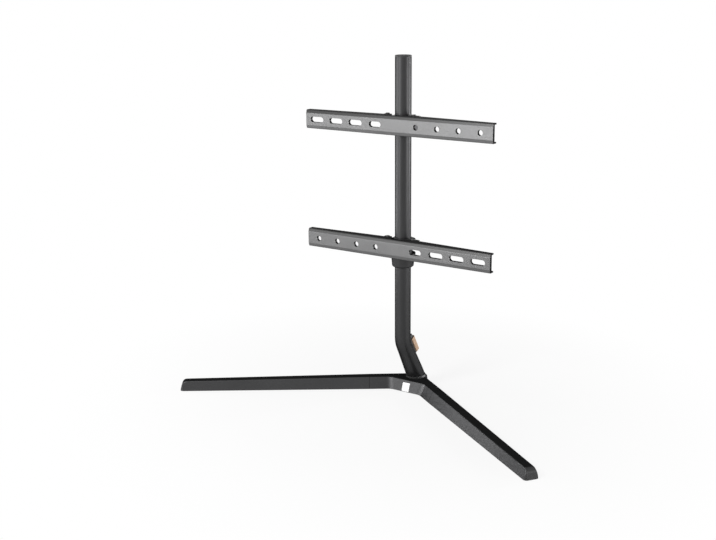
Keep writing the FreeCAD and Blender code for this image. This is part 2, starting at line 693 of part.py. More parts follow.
def bar_screw(x, side, height):
    """Return a screw through a flange of the bar at the given height, side being 1 above it."""
    seat = V(x, BAR_SCREW_Y, height + side * BAR_HEIGHT / 2)
    return cap_screw(seat, UP * -side, BAR_SHEET + BAR_SCREW_REACH)


# Stop collar and what sits on it

def pin_place():
    """Return where the stop pin stands on the collar."""
    return V(0, STOP_PIN_CIRCLE, COLLAR_TOP - STOP_PIN_SINK)


def grub_direction(side):
    """Return the direction in which a grub screw points out of the collar."""
    angle = math.radians(90 - side * GRUB_ANGLE)
    return V(math.cos(angle), math.sin(angle), 0)


def grub_start(side):
    """Return the inner end of a grub screw, just off the pole."""
    middle = COLLAR_TOP - COLLAR_HEIGHT / 2
    return V(0, 0, middle) + grub_direction(side) * (POLE_RADIUS + RUNNING_GAP)


def stop_collar():
    """Return the tapered collar that carries the lower bar on the pole."""
    low = COLLAR_TOP - COLLAR_HEIGHT
    points = [(0, low), (COLLAR_LOW_RADIUS - COLLAR_CHAMFER, low),
              (COLLAR_LOW_RADIUS, low + COLLAR_CHAMFER), (COLLAR_TOP_RADIUS, COLLAR_TOP), (0, COLLAR_TOP)]
    corners = [V(x, 0, z) for x, z in points]
    outline = Part.Face(Part.makePolygon(corners + corners[:1]))
    body = outline.revolve(ORIGIN, UP, 360)
    body = body.cut(rod(POLE_RADIUS + RUNNING_GAP, V(0, 0, low), UP, COLLAR_HEIGHT))
    for side in (-1, 1):
        centre = V(0, 0, COLLAR_TOP - COLLAR_HEIGHT / 2)
        body = body.cut(rod(SCREW_RADIUS + FIT_GAP, centre, grub_direction(side), COLLAR_TOP_RADIUS * 2))
    return body.cut(rod(STOP_PIN_RADIUS + FIT_GAP, pin_place(), UP, STOP_PIN_SINK))


def grub_screw(side):
    """Return one of the two screws that hold the collar on the pole."""
    start = grub_start(side)
    direction = grub_direction(side)
    body = rod(SCREW_RADIUS, start, direction, GRUB_LENGTH)
    key = hexagon(GRUB_HEX, start + direction * (GRUB_LENGTH - GRUB_HEX_DEPTH), direction, GRUB_HEX_DEPTH)
    return body.cut(key)


def stop_pin():
    """Return the upright pin that ends the swivel at both sides."""
    reach = WASHER_THICKNESS + BAR_SHEET + CARRIER_PLATE - LOOSE_GAP
    return rod(STOP_PIN_RADIUS, pin_place(), UP, STOP_PIN_SINK + reach)


def thrust_washer():
    """Return the slide washer between the collar and the carrier."""
    return ring(SLEEVE_RADIUS, POLE_RADIUS + LOOSE_GAP, V(0, 0, COLLAR_TOP), UP, WASHER_THICKNESS)


# Carrier of the lower bar

def carrier_plate(low):
    """Return one flat plate of the carrier, without the bore, clear of the bend inside the bar."""
    top = low + CARRIER_PLATE
    ears = rounded_block(CARRIER_HALF_WIDTH, (CARRIER_FRONT, WEB_BACK + CARRIER_DEPTH), (low, top),
                         CARRIER_CORNER)
    disc = rod(CARRIER_DISC_RADIUS, V(0, 0, low), UP, CARRIER_PLATE)
    clear = block((-CARRIER_DISC_RADIUS, CARRIER_DISC_RADIUS), (CARRIER_FRONT, CARRIER_DISC_RADIUS),
                  (low, top))
    return ears.fuse(disc.common(clear))


def pin_slot():
    """Return the curved slot in which the stop pin moves, centred behind the pole."""
    half_width = STOP_PIN_RADIUS + LOOSE_GAP
    low = LOWER_BAR_HEIGHT - INNER_HALF_HEIGHT
    start = V(0, 0, low)
    band = ring(STOP_PIN_CIRCLE + half_width, STOP_PIN_CIRCLE - half_width, start, UP, CARRIER_PLATE)
    reach = CARRIER_DISC_RADIUS * 2
    limit = math.radians(SWIVEL_LIMIT)
    edge = (reach * math.sin(limit), reach * math.cos(limit))
    wedge = prism([(0, 0), edge, (-edge[0], edge[1])], low, low + CARRIER_PLATE)
    place = (STOP_PIN_CIRCLE * math.sin(limit), STOP_PIN_CIRCLE * math.cos(limit))
    ends = [rod(half_width, V(side * place[0], place[1], low), UP, CARRIER_PLATE) for side in (-1, 1)]
    return band.common(wedge).fuse(ends)


def lower_carrier():
    """Return the sleeve with its two plates and the spine that holds the lower bar."""
    inner = SLEEVE_RADIUS - SLEEVE_WALL
    low = LOWER_BAR_HEIGHT - INNER_HALF_HEIGHT
    high = LOWER_BAR_HEIGHT + INNER_HALF_HEIGHT
    start = V(0, 0, LOWER_BAR_HEIGHT - BAR_HEIGHT / 2)
    sleeve = rod(SLEEVE_RADIUS, start, UP, BAR_HEIGHT)
    spine = block((-SPINE_HALF_WIDTH, SPINE_HALF_WIDTH), (WEB_BACK, -SLEEVE_RADIUS + SLEEVE_WALL),
                  (low + BAR_BEVEL_HEIGHT, high - BAR_BEVEL_HEIGHT))
    body = sleeve.fuse([carrier_plate(low), carrier_plate(high - CARRIER_PLATE), spine])
    body = body.cut([rod(inner, start, UP, BAR_HEIGHT), pin_slot()])
    for x in (-BAR_SCREW_X, BAR_SCREW_X):
        body = body.cut(rod(SCREW_RADIUS + FIT_GAP, V(x, BAR_SCREW_Y, low), UP, high - low))
    return body


def lower_liner():
    """Return the slide liner between the pole and the carrier's sleeve."""
    inner = POLE_RADIUS + RUNNING_GAP
    start = V(0, 0, LOWER_BAR_HEIGHT - BAR_HEIGHT / 2)
    return ring(inner + LINER_WALL, inner, start, UP, BAR_HEIGHT)


# Clamp of the upper bar

def upper_bush():
    """Return the split bush with a lip at each end, on which the upper clamp turns."""
    inner = POLE_RADIUS + RUNNING_GAP
    body_half = INNER_HALF_HEIGHT + RUNNING_GAP
    low = V(0, 0, UPPER_BAR_HEIGHT - body_half - BUSH_LIP)
    height = (body_half + BUSH_LIP) * 2
    lips = [rod(BUSH_LIP_RADIUS, low, UP, BUSH_LIP),
            rod(BUSH_LIP_RADIUS, low + UP * (height - BUSH_LIP), UP, BUSH_LIP)]
    body = rod(BUSH_RADIUS, low, UP, height).fuse(lips)
    split = block((-BUSH_SPLIT / 2, BUSH_SPLIT / 2), (0, BUSH_LIP_RADIUS + OVERRUN),
                  (low.z - OVERRUN, low.z + height + OVERRUN))
    return body.cut([rod(inner, low, UP, height), split])


def clamp_screw_place(x):
    """Return where the head of a clamp screw rests on the rear half."""
    return V(x, CLAMP_SPLIT + CLAMP_EAR_THICKNESS, UPPER_BAR_HEIGHT)


def clamp_front():
    """Return the front half of the clamp, which fills the middle of the upper bar."""
    low = UPPER_BAR_HEIGHT - INNER_HALF_HEIGHT
    high = UPPER_BAR_HEIGHT + INNER_HALF_HEIGHT
    body = rounded_block(CARRIER_HALF_WIDTH, (CARRIER_FRONT, -CLAMP_SPLIT), (low, high), CARRIER_CORNER)
    nose = block((-BAR_SCREW_X, BAR_SCREW_X), (WEB_BACK, CARRIER_FRONT + CARRIER_CORNER),
                 (low + BAR_BEVEL_HEIGHT, high - BAR_BEVEL_HEIGHT))
    body = body.fuse(nose)
    bore = rod(BUSH_RADIUS + RUNNING_GAP, V(0, 0, low), UP, high - low)
    body = body.cut(bore)
    for x in (-BAR_SCREW_X, BAR_SCREW_X):
        for start, direction in ((high, -1), (low, 1)):
            body = body.cut(rod(SCREW_RADIUS + FIT_GAP, V(x, BAR_SCREW_Y, start), UP * direction,
                                BAR_SCREW_REACH + FIT_GAP))
    for x in (-CLAMP_EAR_X, CLAMP_EAR_X):
        hole = rod(SCREW_RADIUS + FIT_GAP, V(x, 0, UPPER_BAR_HEIGHT), BACK * -1,
                   CLAMP_SCREW_BITE + CLAMP_SPLIT + FIT_GAP)
        body = body.cut(hole)
    return body


def clamp_rear():
    """Return the rear half of the clamp, a saddle with two ears."""
    low = UPPER_BAR_HEIGHT - CLAMP_REAR_HEIGHT / 2
    high = low + CLAMP_REAR_HEIGHT
    saddle = rod(CLAMP_RADIUS, V(0, 0, low), UP, CLAMP_REAR_HEIGHT)
    half = block((-CLAMP_RADIUS, CLAMP_RADIUS), (CLAMP_SPLIT, CLAMP_RADIUS), (low, high))
    ears = rounded_block(CLAMP_EAR_X + CLAMP_EAR_HALF_WIDTH,
                         (CLAMP_SPLIT, CLAMP_SPLIT + CLAMP_EAR_THICKNESS), (low, high), SCREW_POINT)
    body = saddle.common(half).fuse(ears)
    body = body.cut(rod(BUSH_RADIUS + RUNNING_GAP, V(0, 0, low), UP, CLAMP_REAR_HEIGHT))
    for x in (-CLAMP_EAR_X, CLAMP_EAR_X):
        hole = rod(SCREW_RADIUS + SCREW_HOLE_GAP, V(x, 0, UPPER_BAR_HEIGHT), BACK, CLAMP_RADIUS)
        body = body.cut(hole)
    return body


def clamp_screw(x):
    """Return one screw that draws the two halves of the clamp together."""
    reach = CLAMP_EAR_THICKNESS + CLAMP_SPLIT + CLAMP_SCREW_BITE
    return cap_screw(clamp_screw_place(x), BACK * -1, reach)


# Cable clip, in a frame of its own: x across, y off the pole, z up along the pole

def on_pole(shape):
    """Return a shape of the clip's own frame where the clip is on the pole."""
    laid = shape.copy()
    laid.rotate(ORIGIN, RIGHT, POLE_LEAN)
    laid.translate(BEND_POINT)
    return laid


def clip_screw_place():
    """Return the middle of the clip on the pole's centre line."""
    return BEND_POINT + DOWN_POLE * (CLIP_TOP + CLIP_LENGTH / 2)


def clip_floor():
    """Return how far the clip's strap sits off the pole's centre line."""
    return POLE_RADIUS + CLIP_BASE_THICKNESS


def clip_base():
    """Return the saddle under the strap, with its hood above it."""
    floor = clip_floor()
    low = -CLIP_TOP - CLIP_LENGTH - CLIP_TAIL
    saddle = block((-CLIP_BASE_HALF_WIDTH, CLIP_BASE_HALF_WIDTH), (POLE_WALL, floor), (low, -CLIP_TOP))
    hood = block((-CLIP_BASE_HALF_WIDTH, CLIP_BASE_HALF_WIDTH), (POLE_WALL, floor + CLIP_HOOD_DEPTH),
                 (-CLIP_TOP, -CLIP_TOP + CLIP_HOOD_LENGTH))
    outer = [edge for edge in hood.Edges
             if edge.BoundBox.YMin > floor and abs(edge.tangentAt(edge.FirstParameter).z) < 0.1
             or edge.BoundBox.YMin > floor and edge.BoundBox.XLength < FIT_GAP]
    hood = hood.makeFillet(CLIP_CORNER, outer)
    body = on_pole(saddle.fuse(hood))
    hole = rod(CLIP_SCREW_RADIUS + FIT_GAP, clip_screw_place(), OFF_POLE, floor + CLIP_DEPTH)
    return body.cut([pole_path(FIT_GAP), hole])


def clip_strap():
    """Return the open holder that the cables are pushed into from the left."""
    floor = clip_floor()
    low = -CLIP_TOP - CLIP_LENGTH
    outer = block((-CLIP_HALF_WIDTH, CLIP_HALF_WIDTH), (floor, floor + CLIP_DEPTH), (low, -CLIP_TOP))
    outer = outer.makeFillet(CLIP_CORNER, along_pole(outer))
    inner_half = CLIP_HALF_WIDTH - CLIP_WALL
    inner = block((-inner_half, inner_half), (floor + CLIP_WALL, floor + CLIP_DEPTH - CLIP_WALL),
                  (low, -CLIP_TOP))
    inner = inner.makeFillet(CLIP_CORNER - CLIP_WALL / 2, along_pole(inner))
    middle = floor + CLIP_DEPTH / 2
    mouth = block((-CLIP_HALF_WIDTH - OVERRUN, 0), (middle - CLIP_MOUTH / 2, middle + CLIP_MOUTH / 2),
                  (low, -CLIP_TOP))
    body = on_pole(outer.cut([inner, mouth]))
    return body.cut(rod(CLIP_SCREW_RADIUS + FIT_GAP, clip_screw_place(), OFF_POLE, floor + CLIP_WALL))


def along_pole(shape):
    """Return the edges of a clip block that run along the pole."""
    return [edge for edge in shape.Edges if abs(edge.tangentAt(edge.FirstParameter).z) > 0.9]


def clip_screw():
    """Return the screw that holds strap and saddle to the pole."""
    seat = clip_screw_place() + OFF_POLE * (clip_floor() + CLIP_WALL)
    reach = CLIP_WALL + CLIP_BASE_THICKNESS + POLE_WALL + CLIP_SCREW_POINT
    shank = rod(CLIP_SCREW_RADIUS, seat, OFF_POLE * -1, reach)
    head = rod(CLIP_SCREW_HEAD_RADIUS, seat, OFF_POLE, CLIP_SCREW_HEAD_HEIGHT)
    rim = [edge for edge in head.Edges
           if (edge.CenterOfMass - seat).dot(OFF_POLE) > CLIP_SCREW_HEAD_HEIGHT - FIT_GAP]
    head = head.makeFillet(SCREW_POINT, rim)
    key = hexagon(CLIP_SCREW_RADIUS, seat + OFF_POLE * SCREW_POINT, OFF_POLE, CLIP_SCREW_HEAD_HEIGHT)
    return head.fuse(shank).cut(key)


def leg_pieces():
    """Return the pieces of both legs by name."""
    pieces = {"leg": leg_blank(), "foot_pad": tip_pad()}
    for name, place in zip(("leg_screw_near", "leg_screw_far"), leg_screw_places()):
        pieces[name] = leg_screw(place)
    placed = {}
    for name, shape in pieces.items():
        right = to_right_leg(shape)
        placed["right_" + name] = right
        placed["left_" + name] = mirrored(right)
    return placed


def bar_screws(name, height):
    """Return the four screws of a bar by name."""
    screws = {}
    for label, x in (("left", -BAR_SCREW_X), ("right", BAR_SCREW_X)):
        for level, side in (("top", 1), ("bottom", -1)):
            screws[f"{name}_screw_{level}_{label}"] = bar_screw(x, side, height)
    return screws


def all_pieces():
    """Return every piece of the stand by name."""
    pieces = {
        "base_hub": base_hub(),
        "front_plate": front_plate(),
        "hub_foot_pad": hub_foot_pad(),
        "pole": pole(),
        "pole_top_cap": pole_top_cap(),
        "pole_plug": pole_plug(),
        "pole_bolt": pole_bolt(),
        "pole_trim_ring": pole_trim_ring(),
        "clip_base": clip_base(),
        "clip_strap": clip_strap(),
        "clip_screw": clip_screw(),
        "stop_collar": stop_collar(),
        "collar_grub_left": grub_screw(-1),
        "collar_grub_right": grub_screw(1),
        "stop_pin": stop_pin(),
        "thrust_washer": thrust_washer(),
        "lower_carrier": lower_carrier(),
        "lower_liner": lower_liner(),
        "lower_bar": lower_bar(),
        "upper_bush": upper_bush(),
        "clamp_front": clamp_front(),
        "clamp_rear": clamp_rear(),
        "clamp_screw_left": clamp_screw(-CLAMP_EAR_X),
        "clamp_screw_right": clamp_screw(CLAMP_EAR_X),
        "upper_bar": upper_bar(),
    }
    pieces.update(leg_pieces())
    pieces.update(bar_screws("lower", LOWER_BAR_HEIGHT))
    pieces.update(bar_screws("upper", UPPER_BAR_HEIGHT))
    return pieces


def main():
    """Write each piece to its own file, with the origin under the middle of the footprint."""
    os.makedirs("parts", exist_ok=True)
    pieces = all_pieces()
    box = Part.makeCompound(list(pieces.values())).optimalBoundingBox()
    shift = V(0, -(box.YMin + box.YMax) / 2, 0)
    for name, shape in pieces.items():
        solids = shape.Solids
        placed = solids[0] if len(solids) == 1 else shape
        placed.translated(shift).exportStep(f"parts/{name}.step")
        print(name, "solids", len(solids), "valid", shape.isValid(), "volume", round(shape.Volume))
    print("pieces", len(pieces), "size", box.XLength, box.YLength, box.ZMax, "pole axis at y", shift.y)


main()
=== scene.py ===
"""Tabletop stand for a flat screen: its finishes, small parts, light, floor and camera.

All lengths are in metres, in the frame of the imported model: +Z is up, the screen side looks
along -Y, and the floor is z = 0.
"""

import json
import logging
import math
from dataclasses import dataclass, field
from enum import Enum

import bmesh
import bpy
from mathutils import Matrix, Vector


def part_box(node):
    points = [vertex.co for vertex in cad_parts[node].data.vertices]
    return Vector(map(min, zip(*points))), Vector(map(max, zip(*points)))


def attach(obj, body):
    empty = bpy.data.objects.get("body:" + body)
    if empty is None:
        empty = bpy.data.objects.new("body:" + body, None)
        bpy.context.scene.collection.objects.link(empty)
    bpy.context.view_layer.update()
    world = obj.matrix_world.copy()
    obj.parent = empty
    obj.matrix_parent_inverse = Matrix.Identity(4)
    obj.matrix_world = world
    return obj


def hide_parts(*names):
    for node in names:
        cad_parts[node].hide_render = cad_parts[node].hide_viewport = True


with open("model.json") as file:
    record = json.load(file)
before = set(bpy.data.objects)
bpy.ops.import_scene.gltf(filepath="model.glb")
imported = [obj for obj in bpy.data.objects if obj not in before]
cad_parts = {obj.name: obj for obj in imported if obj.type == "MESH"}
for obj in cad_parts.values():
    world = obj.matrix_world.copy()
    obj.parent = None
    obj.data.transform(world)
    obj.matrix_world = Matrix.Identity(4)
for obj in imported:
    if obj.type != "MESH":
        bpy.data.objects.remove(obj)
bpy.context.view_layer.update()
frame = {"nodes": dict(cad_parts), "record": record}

log = logging.getLogger("stand")

Colour = tuple[float, float, float]

MM = 0.001
WHITE = (1.0, 1.0, 1.0, 1.0)

# The width of the photograph in pixels, and of the camera's sensor in millimetres.
IMAGE_WIDTH = 716
SENSOR_WIDTH = 36.0

# The middles of the two cross bars stand at these heights, and their faces this far behind the
# middle of the footprint.
LOWER_BAR_LEVEL = 338.7 * MM
UPPER_BAR_LEVEL = 604.0 * MM
BAR_FACE = 51.9 * MM

# A bevel of this profile is part of a circle.
ARC_PROFILE = 0.5


def grey(level: float) -> Colour:
    """Return a neutral colour of the given linear level."""
    return (level, level, level)


def opaque(colour: Colour) -> tuple[float, float, float, float]:
    """Return a colour with an alpha of 1."""
    return (*colour, 1.0)


def placed(name: str, data: bpy.types.ID) -> bpy.types.Object:
    """Make an object of the given mesh, lamp or camera and put it in the scene.

    Args:
        name: the object's name.
        data: what it shows.

    Returns:
        The object.
    """
    thing = bpy.data.objects.new(name, data)
    bpy.context.scene.collection.objects.link(thing)
    return thing


class Grain(Enum):
    """How a surface breaks up when seen from close by."""

    ORANGE_PEEL = "orange peel of a baked powder coat"
    SPARK_ERODED = "fine even grain from a moulding tool"
    SATIN = "almost smooth moulding"
    TURNED = "fine rings left by a lathe"
    RUBBER = "dull skin of a rubber pad"


class Graph:
    """A small builder for the nodes of one material or world."""

    def __init__(self, tree: bpy.types.NodeTree) -> None:
        """Start from an empty tree.

        Args:
            tree: the node tree to fill.
        """
        self.tree = tree
        tree.nodes.clear()

    def add(self, kind: str, inputs: dict | None = None, **settings: object) -> bpy.types.Node:
        """Add a node, set its properties and give values or links to its inputs.

        Args:
            kind: the node's type name.
            inputs: values or sockets by input name or number.
            settings: properties of the node.

        Returns:
            The new node.
        """
        node = self.tree.nodes.new(kind)
        for name, value in settings.items():
            setattr(node, name, value)
        for name, value in (inputs or {}).items():
            if isinstance(value, bpy.types.NodeSocket):
                self.tree.links.new(value, node.inputs[name])
            else:
                node.inputs[name].default_value = value
        return node

    def math(self, operation: str, *values: object) -> bpy.types.NodeSocket:
        """Add a sum of the given kind and return its result.

        Args:
            operation: the name of the operation.
            values: numbers or sockets in the order of the inputs.

        Returns:
            The output socket.
        """
        inputs = dict(enumerate(values))
        return self.add("ShaderNodeMath", inputs, operation=operation).outputs[0]

    def vector(self, operation: str, inputs: dict) -> bpy.types.NodeOutputs:
        """Add a sum of vectors and return its outputs.

        Args:
            operation: the name of the operation.
            inputs: values or sockets by input name or number.

        Returns:
            The outputs, of which Vector or Value holds the result.
        """
        return self.add("ShaderNodeVectorMath", inputs, operation=operation).outputs

    def mix_colour(self, share: object, first: object, second: object) -> bpy.types.NodeSocket:
        """Blend two colours and return the result.

        Args:
            share: how much of the second colour shows.
            first: the colour at share 0.
            second: the colour at share 1.

        Returns:
            The output socket.
        """
        node = self.add("ShaderNodeMix", {0: share, 6: first, 7: second}, data_type="RGBA")
        return node.outputs[2]

    def noise(self, place: bpy.types.NodeSocket, scale: float, detail: float) -> bpy.types.NodeSocket:
        """Return the value of a noise pattern.

        Args:
            place: the coordinates it reads.
            scale: how many features fit in a metre.
            detail: how many finer layers it has.

        Returns:
            The output socket, which runs from 0 to 1.
        """
        values = {"Vector": place, "Scale": scale, "Detail": detail}
        return self.add("ShaderNodeTexNoise", values).outputs["Fac"]

    def ramp(self, value: object, low: float, high: float,
             start: float = 0.0, end: float = 1.0) -> bpy.types.NodeSocket:
        """Stretch a value from low..high to start..end and hold it there.

        Args:
            value: the socket to stretch.
            low: the value that gives start.
            high: the value that gives end.
            start: the result at low.
            end: the result at high.

        Returns:
            The output socket.
        """
        values = {"Value": value, "From Min": low, "From Max": high, "To Min": start, "To Max": end}
        return self.add("ShaderNodeMapRange", values, clamp=True).outputs["Result"]


@dataclass(frozen=True)
class PaintedShade:
    """A place on a finish where shade is painted into the colour.

    Attributes:
        colour: the colour of the painted shade.
    """

    colour: Colour = (0.006, 0.006, 0.006)

    def share(self, graph: Graph, place: bpy.types.NodeSocket) -> bpy.types.NodeSocket:
        """Return 1 where the shade is painted and 0 elsewhere.

        Args:
            graph: the material's builder.
            place: the object coordinates.

        Returns:
            The output socket.
        """
        raise NotImplementedError


@dataclass(frozen=True)
class PaintedSeamShade(PaintedShade):
    """A fine dark line painted where a leg butts against the hub: painted shade standing in for the shadow
    in the seam.

    Attributes:
        side: 1 for the right leg, -1 for the left one.
        meeting: how far back both leg lines cross, from the middle of the footprint.
        angle: how far the leg's line is turned from the front, in degrees.
        reach: how far along the leg's line the joint stands.
        width: the line's width.
    """

    side: int = 1
    meeting: float = 149.072 * MM
    angle: float = 54.47
    reach: float = 110.0 * MM
    width: float = 0.5 * MM

    def share(self, graph: Graph, place: bpy.types.NodeSocket) -> bpy.types.NodeSocket:
        """Return 1 on the line and 0 beside it.

        Args:
            graph: the material's builder.
            place: the object coordinates.

        Returns:
            The output socket.
        """
        turn = math.radians(self.angle)
        along = (self.side * math.sin(turn), -math.cos(turn), 0.0)
        start = (0.0, self.meeting, 0.0)
        off = graph.vector("SUBTRACT", {0: place, 1: start})["Vector"]
        run = graph.vector("DOT_PRODUCT", {0: off, 1: along})["Value"]
        distance = graph.math("ABSOLUTE", graph.math("SUBTRACT", run, self.reach))
        return graph.ramp(distance, self.width / 2, self.width, 1.0, 0.0)


@dataclass(frozen=True)
class PaintedEdgeShade(PaintedShade):
    """Painted shade on a cross bar's cut edges: its two ends and the walls of its holes are painted dark in
    place of shade.

    The holes' mark goes by depth and height alone, so it also covers the middle band of the back.

    Attributes:
        level: the height of the bar's middle.
        half_length: how far the bar reaches to each side.
        face: how far back the bar's front face stands.
        half_hole: half the height of the band that holds the holes.
        blend: how far the mark runs out.
    """

    level: float = 0.0
    half_length: float = 228.6 * MM
    face: float = BAR_FACE
    half_hole: float = 7.0 * MM
    blend: float = 0.4 * MM

    def share(self, graph: Graph, place: bpy.types.NodeSocket) -> bpy.types.NodeSocket:
        """Return 1 on the cut edges and the middle band of the back, and 0 on the front face.

        Args:
            graph: the material's builder.
            place: the object coordinates.

        Returns:
            The output socket.
        """
        part = graph.add("ShaderNodeSeparateXYZ", {0: place}).outputs
        end = graph.ramp(graph.math("ABSOLUTE", part["X"]), self.half_length - self.blend / 2,
                         self.half_length - self.blend / 4)
        deep = graph.ramp(part["Y"], self.face + self.blend, self.face + self.blend * 3)
        off = graph.math("ABSOLUTE", graph.math("SUBTRACT", part["Z"], self.level))
        band = graph.ramp(off, self.half_hole, self.half_hole + self.blend, 1.0, 0.0)
        return graph.math("MAXIMUM", end, graph.math("MULTIPLY", deep, band))


@dataclass(frozen=True)
class PaintedBevelShade(PaintedShade):
    """Painted shade on a cross bar's upper bevel and on the front edge of its upper flange: a deeper grey
    in place of shade.

    Attributes:
        level: the height of the bar's middle.
        face: how far back the bar's front face stands.
        depth: how far back from the face the mark goes.
        half_face: how far above the bar's middle the mark begins.
        reach: how far up from there the mark goes.
        blend: how far the mark runs out.
    """

    level: float = 0.0
    face: float = BAR_FACE
    depth: float = 2.4 * MM
    half_face: float = 13.2 * MM
    reach: float = 12.0 * MM
    blend: float = 0.8 * MM

    def share(self, graph: Graph, place: bpy.types.NodeSocket) -> bpy.types.NodeSocket:
        """Return 1 on the bevel and on the front of the upper flange, and 0 elsewhere.

        Args:
            graph: the material's builder.
            place: the object coordinates.

        Returns:
            The output socket.
        """
        part = graph.add("ShaderNodeSeparateXYZ", {0: place}).outputs
        low = self.level + self.half_face
        above = graph.ramp(part["Z"], low, low + self.blend)
        below = graph.ramp(part["Z"], low + self.reach, low + self.reach + self.blend, 1.0, 0.0)
        back = self.face + self.depth
        front = graph.ramp(part["Y"], back, back + self.blend, 1.0, 0.0)
        return graph.math("MULTIPLY", graph.math("MULTIPLY", above, below), front)


# The relief is this many times as wide as it is high.
RELIEF_FLATNESS = 3
# A relief of two noises: the second is this many times finer, and takes this share of the height.
FINE_RELIEF_SCALE = 2.7
FINE_SHARE_PEEL = 0.35
FINE_SHARE_ERODED = 0.7
# At scale 1 the ring pattern has about this many rings in a metre. They waver a little.
RINGS_PER_METRE = 3
RING_WAVER = 0.6
# Rubbed edges show where the cosine between the rounded normal and the flat one falls from the
# first value to the second, and patches break them up.
EDGE_COSINE_NONE = 0.995
EDGE_COSINE_FULL = 0.86
WEAR_PATCHES = 90.0
WEAR_PATCH_RANGE = (0.36, 0.64)
WEAR_LEAST = 0.35
# Colour drift over a piece, and the specks in its coat.
DRIFT_PATCHES = 9.0
DRIFT_RANGE = (0.3, 0.7)
SPECK_SCALE = 0.7
SPECK_RANGE = (0.55, 0.7)
# Roughness follows the relief by this much each way, and rubbed edges are smoother.
RELIEF_RANGE = (0.25, 0.75)
ROUGHNESS_SWING = 0.06
RUBBED_SMOOTHNESS = 0.12
# Sharp edges of the solids catch the light as if rounded this far.
CATCH_RADIUS = 0.35 * MM


